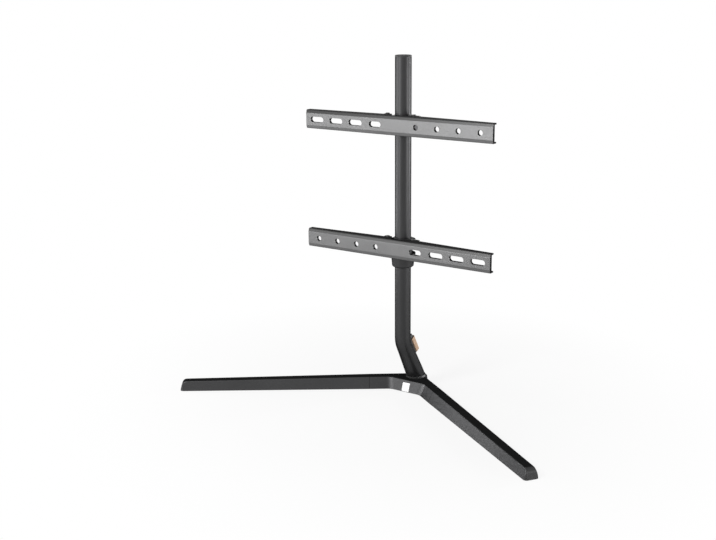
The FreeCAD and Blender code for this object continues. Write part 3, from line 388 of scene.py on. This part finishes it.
@dataclass(frozen=True)
class Finish:
    """The finish of one material slot, with its grain, colour drift, rubbed edges and painted shade.

    Attributes:
        slot: the material slot of the record that this finish is for.
        colour: the base colour.
        fleck: the colour of the small specks in it.
        roughness: the middle roughness.
        specular: the level of the clear reflection.
        metallic: the share of metal.
        grazing: how bright the reflection stays at a flat angle, for the metal share.
        grain: the kind of fine relief.
        grain_size: the width of one bump of the relief.
        grain_depth: the strength of the relief.
        drift: how much the colour wanders over the piece.
        edge_colour: the colour of rubbed edges.
        edge_width: how far a rubbed edge reaches.
        edge_wear: how much of the edge colour shows.
        marks: the places on pieces with this finish where shade is painted into the colour.
    """

    slot: str
    colour: Colour
    fleck: Colour
    roughness: float
    specular: float = 0.5
    metallic: float = 0.0
    grazing: float = 1.0
    grain: Grain = Grain.ORANGE_PEEL
    grain_size: float = 0.9 * MM
    grain_depth: float = 0.12
    drift: float = 0.05
    edge_colour: Colour = (0.3, 0.3, 0.3)
    edge_width: float = 0.7 * MM
    edge_wear: float = 0.25
    marks: tuple[PaintedShade, ...] = ()

    def relief(self, graph: Graph, place: bpy.types.NodeSocket) -> bpy.types.NodeSocket:
        """Return the height of the fine relief, from 0 to 1.

        Args:
            graph: the material's builder.
            place: the object coordinates.

        Returns:
            The output socket.
        """
        scale = 1.0 / self.grain_size
        if self.grain is Grain.TURNED:
            values = {"Vector": place, "Scale": scale / RINGS_PER_METRE, "Distortion": RING_WAVER,
                      "Detail": 1.0}
            rings = {"wave_type": "RINGS", "rings_direction": "SPHERICAL"}
            return graph.add("ShaderNodeTexWave", values, **rings).outputs["Fac"]
        coarse = graph.noise(place, scale, detail=2.0)
        if self.grain in (Grain.SATIN, Grain.RUBBER):
            return coarse
        fine = graph.noise(place, scale * FINE_RELIEF_SCALE, detail=3.0)
        share = FINE_SHARE_PEEL if self.grain is Grain.ORANGE_PEEL else FINE_SHARE_ERODED
        main_part = graph.math("MULTIPLY", coarse, 1.0 - share)
        return graph.math("ADD", main_part, graph.math("MULTIPLY", fine, share))

    def rubbed(self, graph: Graph, place: bpy.types.NodeSocket) -> bpy.types.NodeSocket:
        """Return where the edges are rubbed, from 0 to 1.

        Args:
            graph: the material's builder.
            place: the object coordinates.

        Returns:
            The output socket.
        """
        rounded = graph.add("ShaderNodeBevel", {"Radius": self.edge_width}, samples=6).outputs["Normal"]
        flat = graph.add("ShaderNodeNewGeometry").outputs["Normal"]
        turned = graph.vector("DOT_PRODUCT", {0: rounded, 1: flat})["Value"]
        edge = graph.ramp(turned, EDGE_COSINE_NONE, EDGE_COSINE_FULL)
        patches = graph.noise(place, WEAR_PATCHES, detail=4.0)
        broken = graph.ramp(patches, *WEAR_PATCH_RANGE, WEAR_LEAST, 1.0)
        return graph.math("MULTIPLY", graph.math("MULTIPLY", edge, broken), self.edge_wear)

    def coloured(self, graph: Graph, place: bpy.types.NodeSocket,
                 edge: bpy.types.NodeSocket) -> bpy.types.NodeSocket:
        """Return the colour with its specks, drift, rubbed edges and painted shade.

        Args:
            graph: the material's builder.
            place: the object coordinates.
            edge: where the edges are rubbed.

        Returns:
            The output socket.
        """
        specks = graph.ramp(graph.noise(place, SPECK_SCALE / self.grain_size, detail=1.0), *SPECK_RANGE)
        colour = graph.mix_colour(specks, opaque(self.colour), opaque(self.fleck))
        wander = graph.noise(place, DRIFT_PATCHES, detail=2.0)
        shade = graph.ramp(wander, *DRIFT_RANGE, 1.0 - self.drift, 1.0 + self.drift)
        colour = graph.vector("SCALE", {0: colour, "Scale": shade})["Vector"]
        colour = graph.mix_colour(edge, colour, opaque(self.edge_colour))
        # The painted shade goes over the colour last.
        for mark in self.marks:
            colour = graph.mix_colour(mark.share(graph, place), colour, opaque(mark.colour))
        return colour

    def roughened(self, graph: Graph, relief: bpy.types.NodeSocket,
                  edge: bpy.types.NodeSocket) -> bpy.types.NodeSocket:
        """Return the roughness, which follows the relief and drops at rubbed edges.

        Args:
            graph: the material's builder.
            relief: the height of the fine relief.
            edge: where the edges are rubbed.

        Returns:
            The output socket.
        """
        smooth = self.roughness - ROUGHNESS_SWING
        coarse = self.roughness + ROUGHNESS_SWING
        rough = graph.ramp(relief, *RELIEF_RANGE, smooth, coarse)
        return graph.math("SUBTRACT", rough, graph.math("MULTIPLY", edge, RUBBED_SMOOTHNESS))

    def bumped(self, graph: Graph, relief: bpy.types.NodeSocket) -> bpy.types.NodeSocket:
        """Return the normal with the relief and softened edges.

        Args:
            graph: the material's builder.
            relief: the height of the fine relief.

        Returns:
            The output socket.
        """
        soft_edge = graph.add("ShaderNodeBevel", {"Radius": CATCH_RADIUS}, samples=4).outputs["Normal"]
        values = {"Strength": self.grain_depth, "Distance": self.grain_size / RELIEF_FLATNESS,
                  "Height": relief, "Normal": soft_edge}
        return graph.add("ShaderNodeBump", values).outputs["Normal"]

    def material(self) -> bpy.types.Material:
        """Return the Blender material of this finish, made once."""
        known = bpy.data.materials.get("stand_" + self.slot)
        if known:
            return known
        made = bpy.data.materials.new("stand_" + self.slot)
        made.use_nodes = True
        graph = Graph(made.node_tree)
        place = graph.add("ShaderNodeTexCoord").outputs["Object"]
        relief = self.relief(graph, place)
        edge = self.rubbed(graph, place)
        shader = graph.add("ShaderNodeBsdfPrincipled", {
            "Base Color": self.coloured(graph, place, edge),
            "Roughness": self.roughened(graph, relief, edge),
            "Normal": self.bumped(graph, relief), "Metallic": self.metallic,
            "Specular IOR Level": self.specular, "Specular Tint": opaque(grey(self.grazing))})
        graph.add("ShaderNodeOutputMaterial", {"Surface": shader.outputs[0]})
        return made


# The powder coat gets a painted shade line at each seam where a leg meets the hub.
POWDER_COAT = Finish("powder_coat", colour=(0.045, 0.045, 0.046), fleck=(0.056, 0.056, 0.057),
                     roughness=0.38, specular=0.0, metallic=0.8, grazing=0.06, edge_colour=grey(0.11),
                     edge_wear=0.3, marks=(PaintedSeamShade(side=1), PaintedSeamShade(side=-1)))
# Painted shade: this near-black grey goes on the bars' ends, the walls of their holes and the middle band
# of their backs.
PAINTED_EDGE_SHADE = grey(0.028)
BAR_COAT = Finish("bar_coat", colour=(0.13, 0.13, 0.131), fleck=(0.149, 0.149, 0.15), roughness=0.38,
                  specular=0.0, metallic=0.8, grazing=0.0, edge_colour=grey(0.2), edge_width=0.5 * MM,
                  edge_wear=0.2, marks=(PaintedEdgeShade(PAINTED_EDGE_SHADE, level=LOWER_BAR_LEVEL),
                                        PaintedEdgeShade(PAINTED_EDGE_SHADE, level=UPPER_BAR_LEVEL),
                                        # Painted shade on the upper bevels: a deeper grey, darker still on
                                        # the upper bar.
                                        PaintedBevelShade(grey(0.062), level=LOWER_BAR_LEVEL),
                                        PaintedBevelShade(grey(0.052), level=UPPER_BAR_LEVEL)))
BLACK_PLASTIC = Finish("black_plastic", colour=grey(0.028), fleck=grey(0.036), roughness=0.6, specular=0.3,
                       grain=Grain.SPARK_ERODED, grain_size=0.5 * MM, edge_colour=grey(0.09))
SLIDE_PLASTIC = Finish("slide_plastic", colour=grey(0.1), fleck=grey(0.12), roughness=0.42, specular=0.3,
                       grain=Grain.SATIN, grain_depth=0.05, edge_colour=grey(0.18))
TAN_PLASTIC = Finish("tan_plastic", colour=(0.38, 0.25, 0.16), fleck=(0.43, 0.29, 0.19), roughness=0.5,
                     specular=0.35, grain=Grain.SATIN, grain_depth=0.08, edge_colour=(0.6, 0.44, 0.32))
PLATE_ENAMEL = Finish("white_plate", colour=grey(0.86), fleck=grey(0.88), roughness=0.4, specular=0.4,
                      grain=Grain.SATIN, grain_depth=0.04, drift=0.015, edge_colour=grey(0.7),
                      edge_wear=0.3)
PAD_RUBBER = Finish("rubber_pad", colour=grey(0.02), fleck=grey(0.026), roughness=0.85, specular=0.2,
                    grain=Grain.RUBBER, grain_size=1.2 * MM, grain_depth=0.25, edge_colour=grey(0.06))
BLACK_STEEL = Finish("dark_screw", colour=grey(0.05), fleck=grey(0.06), roughness=0.38, specular=0.5,
                     metallic=0.6, grain=Grain.TURNED, grain_size=0.4 * MM, grain_depth=0.08,
                     edge_colour=grey(0.3), edge_width=0.4 * MM, edge_wear=0.6)
TURNED_STEEL = Finish("plug_steel", colour=grey(0.45), fleck=grey(0.5), roughness=0.34, metallic=1.0,
                      grain=Grain.TURNED, grain_size=0.4 * MM, grain_depth=0.1, edge_colour=grey(0.6))
ALL_FINISHES = (POWDER_COAT, BAR_COAT, BLACK_PLASTIC, SLIDE_PLASTIC, TAN_PLASTIC, PLATE_ENAMEL,
                PAD_RUBBER, BLACK_STEEL, TURNED_STEEL)
FINISHES = {finish.slot: finish for finish in ALL_FINISHES}

# Corners of an outline closer than this are one.
SAME_POINT = 0.002 * MM


def dress(node: str, finish: Finish) -> None:
    """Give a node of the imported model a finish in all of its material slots.

    Args:
        node: the node's name.
        finish: the finish it gets.
    """
    thing = frame["nodes"][node]
    material = finish.material()
    if not thing.material_slots:
        thing.data.materials.append(material)
    for slot in thing.material_slots:
        slot.material = material
    log.info("dressed %s in %s", node, finish.slot)


@dataclass
class Dressing:
    """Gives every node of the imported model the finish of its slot."""

    slots: dict[str, str] = field(default_factory=lambda: {
        part["node"]: part["material_slot"] for part in frame["record"]["subparts"]})

    def build(self) -> None:
        """Dress all nodes in the order of the record."""
        for node, slot in self.slots.items():
            dress(node, FINISHES[slot])


def spun(profile: list[tuple[float, float]], steps: int) -> bmesh.types.BMesh:
    """Turn an outline of (radius, height) points once round the upright axis.

    Args:
        profile: the outline, from the axis or round in a closed loop.
        steps: how many sides the turned shape gets.

    Returns:
        The turned shape, closed, with its faces outwards.
    """
    shape = bmesh.new()
    points = [shape.verts.new((radius, 0.0, height)) for radius, height in profile]
    edges = [shape.edges.new(pair) for pair in zip(points, points[1:])]
    if profile[0][0] > 0.0:
        edges.append(shape.edges.new((points[-1], points[0])))
    bmesh.ops.spin(shape, geom=points + edges, cent=(0.0, 0.0, 0.0), axis=(0.0, 0.0, 1.0),
                   angle=math.tau, steps=steps, use_merge=True)
    bmesh.ops.remove_doubles(shape, verts=shape.verts, dist=SAME_POINT)
    bmesh.ops.recalc_face_normals(shape, faces=shape.faces)
    return shape


def finished(shape: bmesh.types.BMesh, name: str, finish: Finish, body: str,
             instead_of: str, smooth: float = 35.0) -> bpy.types.Object:
    """Make a piece of a shape, give it its finish and its body, and let it stand for a CAD node.

    Args:
        shape: the shape, in its place in the model. It is used up.
        name: the piece's name.
        finish: the finish it gets.
        body: the body it rides on.
        instead_of: the node it stands for.
        smooth: the angle in degrees up to which its faces shade as one.

    Returns:
        The piece.
    """
    bmesh.ops.recalc_face_normals(shape, faces=shape.faces)
    for face in shape.faces:
        face.smooth = True
    for edge in shape.edges:
        edge.smooth = not edge.is_manifold or edge.calc_face_angle(0.0) < math.radians(smooth)
    mesh = bpy.data.meshes.new(name)
    shape.to_mesh(mesh)
    shape.free()
    piece = placed(name, mesh)
    mesh.materials.append(finish.material())
    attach(piece, body)
    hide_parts(instead_of)
    log.info("piece %s with %d faces", name, len(mesh.polygons))
    return piece


@dataclass
class PoleCap:
    """The flush cap of the pole: a dished lid with a rolled rim, on a stem inside the tube."""

    axis_y: float = 85.20039 * MM
    seat: float = 744.5 * MM
    radius: float = 17.5 * MM
    thickness: float = 3.0 * MM
    rim: float = 2.6 * MM
    dish: float = 0.9 * MM
    rim_round: float = 1.2 * MM
    stem_radius: float = 15.45 * MM
    stem_wall: float = 3.0 * MM
    stem_length: float = 14.0 * MM
    dish_slope: float = 1.4 * MM
    dish_sag: float = 0.12 * MM
    dish_middle_sag: float = 0.15 * MM
    sag_share: float = 0.45
    rim_steps: int = 5
    sides: int = 96

    def rim_points(self, centre_radius: float, turn_from: float,
                   turn_to: float) -> list[tuple[float, float]]:
        """Return the points of one rounded edge of the rim.

        Args:
            centre_radius: how far from the axis the rounding's centre is.
            turn_from: the angle in degrees at which it starts.
            turn_to: the angle at which it ends.

        Returns:
            Points of (radius, height), with the seat as height zero.
        """
        centre_height = self.thickness - self.rim_round
        angles = [math.radians(turn_from + (turn_to - turn_from) * k / self.rim_steps)
                  for k in range(self.rim_steps + 1)]
        return [(centre_radius + self.rim_round * math.cos(a), centre_height + self.rim_round * math.sin(a))
                for a in angles]

    def build(self) -> bpy.types.Object:
        """Make the cap and return it."""
        inner = self.stem_radius - self.stem_wall
        floor = self.thickness - self.dish
        foot = -self.stem_length
        profile = [(0.0, 0.0), (inner, 0.0), (inner, foot), (self.stem_radius, foot),
                   (self.stem_radius, 0.0), (self.radius, 0.0)]
        profile += self.rim_points(self.radius - self.rim_round, 0.0, 90.0)
        profile += self.rim_points(self.radius - self.rim, 90.0, 150.0)
        profile += [(self.radius - self.rim - self.dish_slope, floor),
                    (self.radius * self.sag_share, floor - self.dish_sag),
                    (0.0, floor - self.dish_middle_sag)]
        shape = spun(profile, self.sides)
        bmesh.ops.translate(shape, vec=(0.0, self.axis_y, self.seat), verts=shape.verts)
        return finished(shape, "pole_cap_lid", BLACK_PLASTIC, "base", "pole_top_cap")


@dataclass
class TipPad:
    """The rubber foot under a leg's tip, with ring grooves in its sole."""

    side: int
    across: float = 421.147 * MM
    along: float = -151.662 * MM
    radius: float = 9.0 * MM
    height: float = 3.0 * MM
    bevel: float = 0.5 * MM
    groove: float = 0.5 * MM
    groove_half_mouth: float = 0.7 * MM
    groove_half_floor: float = 0.35 * MM
    plain_rim: float = 1.5 * MM
    grooves: int = 3
    sides: int = 72

    def build(self) -> bpy.types.Object:
        """Make the foot and return it."""
        pitch = (self.radius - self.plain_rim) / self.grooves
        profile = [(0.0, self.height), (self.radius, self.height), (self.radius, self.bevel),
                   (self.radius - self.bevel, 0.0)]
        for ring in range(self.grooves, 0, -1):
            middle = ring * pitch
            profile += [(middle + self.groove_half_mouth, 0.0),
                        (middle + self.groove_half_floor, self.groove),
                        (middle - self.groove_half_floor, self.groove),
                        (middle - self.groove_half_mouth, 0.0)]
        profile.append((0.0, 0.0))
        shape = spun(profile, self.sides)
        bmesh.ops.translate(shape, vec=(self.side * self.across, self.along, 0.0), verts=shape.verts)
        name = "right" if self.side > 0 else "left"
        return finished(shape, f"{name}_foot_sole", PAD_RUBBER, "base", f"{name}_foot_pad")


@dataclass
class BarePlate:
    """The bare plate let into the hub's front face, with a bevelled edge and a shallow frame."""

    width: float = 18.2 * MM
    height: float = 19.6 * MM
    thickness: float = 1.2 * MM
    corner: float = 0.8 * MM
    edge: float = 0.25 * MM
    frame: float = 1.1 * MM
    sink: float = 0.15 * MM
    corner_steps: int = 5
    edge_steps: int = 3

    def build(self) -> bpy.types.Object:
        """Make the plate and return it."""
        low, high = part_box("front_plate")
        lean = self.lean(high.z - low.z)
        shape = bmesh.new()
        bmesh.ops.create_cube(shape, size=1.0)
        bmesh.ops.scale(shape, vec=(self.width, self.thickness, self.height), verts=shape.verts)
        through = [edge for edge in shape.edges
                   if abs((edge.verts[0].co - edge.verts[1].co).y) > self.thickness / 2]
        bmesh.ops.bevel(shape, geom=through, offset=self.corner, affect="EDGES", segments=self.corner_steps,
                        profile=ARC_PROFILE, material=-1)
        front = min(shape.faces, key=lambda face: face.calc_center_median().y)
        bmesh.ops.bevel(shape, geom=list(front.edges), offset=self.edge, affect="EDGES",
                        segments=self.edge_steps, profile=ARC_PROFILE, material=-1)
        front = min(shape.faces,
                    key=lambda face: (round(face.calc_center_median().y, 7), -face.calc_area()))
        bmesh.ops.inset_region(shape, faces=[front], thickness=self.frame, depth=0.0)
        bmesh.ops.inset_region(shape, faces=[front], thickness=self.sink, depth=-self.sink)
        turn = Matrix.Rotation(-lean, 4, "X")
        middle = Vector(((low.x + high.x) / 2, (low.y + high.y) / 2, (low.z + high.z) / 2))
        bmesh.ops.transform(shape, matrix=Matrix.Translation(middle) @ turn, verts=shape.verts)
        return finished(shape, "bare_plate", PLATE_ENAMEL, "base", "front_plate", smooth=50.0)

    def lean(self, tall: float) -> float:
        """Return how far the plate leans back, from the height of its box.

        Args:
            tall: the height of the box that the leaning plate fills.

        Returns:
            The lean in radians.
        """
        reach = math.hypot(self.height, self.thickness)
        return math.acos(min(1.0, tall / reach)) + math.atan2(self.thickness, self.height)


@dataclass
class PhotoCamera:
    """The camera of the photograph."""

    place: tuple[float, float, float] = (1.268654, -1.961078, 0.928125)
    yaw: float = 34.12
    pitch: float = 14.91
    roll: float = -0.47
    focal_pixels: float = 1145.438
    sight: float = 60.0

    def build(self) -> bpy.types.Object:
        """Make the camera and use it in the scene."""
        data = bpy.data.cameras.new("photo_camera")
        data.sensor_width = SENSOR_WIDTH
        data.lens = self.focal_pixels * SENSOR_WIDTH / IMAGE_WIDTH
        data.clip_end = self.sight
        camera = placed("photo_camera", data)
        turn = (Matrix.Rotation(math.radians(self.yaw), 4, "Z")
                @ Matrix.Rotation(math.radians(90.0 - self.pitch), 4, "X")
                @ Matrix.Rotation(math.radians(self.roll), 4, "Z"))
        camera.matrix_world = Matrix.Translation(self.place) @ turn
        bpy.context.scene.camera = camera
        log.info("camera with a %.2f mm lens", data.lens)
        return camera


@dataclass(frozen=True)
class SoftBox:
    """One large soft lamp.

    Attributes:
        name: the lamp's name.
        place: where its middle hangs.
        target: the point it faces.
        width: its width.
        height: its height.
        power: its power in watts.
    """

    name: str
    place: tuple[float, float, float]
    target: tuple[float, float, float]
    width: float
    height: float
    power: float

    def build(self) -> bpy.types.Object:
        """Hang the lamp and return it."""
        data = bpy.data.lights.new(self.name, "AREA")
        data.shape = "RECTANGLE"
        data.size = self.width
        data.size_y = self.height
        data.energy = self.power
        lamp = placed(self.name, data)
        lamp.visible_camera = False
        aim = Vector(self.target) - Vector(self.place)
        turn = aim.to_track_quat("-Z", "Y").to_matrix().to_4x4()
        lamp.matrix_world = Matrix.Translation(self.place) @ turn
        log.info("lamp %s of %.0f W", self.name, self.power)
        return lamp


# The lamps face the middle of the stand, or the tops of its legs.
AT_STAND = (0.0, 0.05, 0.35)
AT_LEG_TOPS = (0.1, 0.0, 0.02)


@dataclass
class Studio:
    """The pale floor, the white surroundings and the soft lamps.

    Attributes:
        floor_half: how far the floor reaches to each side.
        floor_colour: the level of the floor's own colour, which takes the shadow.
        white_near: how much of the floor's look near the stand is plain white.
        white_from: how far from the middle the floor starts to turn white.
        white_until: how far from the middle it is all white.
        ambient: the strength of the even light from all round.
        lamps: the soft lamps.
    """

    floor_half: float = 14.0
    floor_colour: float = 0.82
    white_near: float = 0.87
    white_from: float = 0.3
    white_until: float = 0.8
    ambient: float = 0.08
    lamps: tuple[SoftBox, ...] = (
        SoftBox("high_front_box", (-0.365, -2.018, 1.6), AT_STAND, 0.7, 0.7, 48.0),
        SoftBox("low_front_box", (-0.787, -1.897, 0.35), AT_STAND, 0.7, 0.9, 12.0),
        SoftBox("left_front_box", (-1.72, -1.155, 0.35), AT_STAND, 0.7, 0.9, 10.5),
        SoftBox("left_box", (-2.028, -0.494, 0.35), AT_STAND, 0.7, 0.9, 13.0),
        SoftBox("left_floor_box", (-1.26, -0.29, 0.15), AT_LEG_TOPS, 0.5, 0.25, 4.2),
        SoftBox("right_back_box", (1.35, 1.659, 0.35), AT_STAND, 0.7, 0.9, 41.0),
        SoftBox("right_box", (2.092, 0.233, 0.35), AT_STAND, 0.7, 0.9, 16.7),
    )

    def seen(self, graph: Graph) -> bpy.types.NodeSocket:
        """Return 1 for rays from the eye, a mirror or a glass, and 0 for the rest.

        Args:
            graph: the builder of the material or world.

        Returns:
            The output socket.
        """
        path = graph.add("ShaderNodeLightPath").outputs
        either = graph.math("MAXIMUM", path["Is Camera Ray"], path["Is Glossy Ray"])
        return graph.math("MAXIMUM", either, path["Is Transmission Ray"])

    def floor(self) -> bpy.types.Object:
        """Lay the floor, which is pale and keeps the stand's shadow."""
        shape = bmesh.new()
        bmesh.ops.create_grid(shape, x_segments=2, y_segments=2, size=self.floor_half)
        mesh = bpy.data.meshes.new("studio_floor")
        shape.to_mesh(mesh)
        shape.free()
        floor = placed("studio_floor", mesh)
        material = bpy.data.materials.new("studio_floor")
        material.use_nodes = True
        graph = Graph(material.node_tree)
        paper = graph.add("ShaderNodeBsdfDiffuse", {"Color": opaque(grey(self.floor_colour))})
        white = graph.add("ShaderNodeEmission", {"Color": WHITE, "Strength": 1.0})
        place = graph.add("ShaderNodeTexCoord").outputs["Object"]
        distance = graph.vector("LENGTH", {0: place})["Value"]
        paleness = graph.ramp(distance, self.white_from, self.white_until, self.white_near, 1.0)
        share = graph.math("MULTIPLY", self.seen(graph), paleness)
        both = graph.add("ShaderNodeMixShader", {0: share, 1: paper.outputs[0], 2: white.outputs[0]})
        graph.add("ShaderNodeOutputMaterial", {"Surface": both.outputs[0]})
        mesh.materials.append(material)
        return floor

    def surroundings(self) -> None:
        """Make the world white to the eye, with a low even light of its own."""
        world = bpy.data.worlds.new("studio_surroundings")
        bpy.context.scene.world = world
        world.use_nodes = True
        graph = Graph(world.node_tree)
        low = graph.add("ShaderNodeBackground", {"Color": WHITE, "Strength": self.ambient})
        white = graph.add("ShaderNodeBackground", {"Color": WHITE, "Strength": 1.0})
        layers = {0: self.seen(graph), 1: low.outputs[0], 2: white.outputs[0]}
        both = graph.add("ShaderNodeMixShader", layers)
        graph.add("ShaderNodeOutputWorld", {"Surface": both.outputs[0]})

    def build(self) -> None:
        """Set up floor, surroundings and lamps."""
        self.floor()
        self.surroundings()
        for lamp in self.lamps:
            lamp.build()
        bpy.context.scene.view_settings.view_transform = "Standard"
        log.info("studio with %d lamps", len(self.lamps))


def main() -> None:
    """Build the whole scene in order."""
    logging.basicConfig(level=logging.INFO, format="%(name)s: %(message)s")
    PhotoCamera().build()
    Studio().build()
    Dressing().build()
    PoleCap().build()
    TipPad(1).build()
    TipPad(-1).build()
    BarePlate().build()


if __name__ == "__main__":
    main()
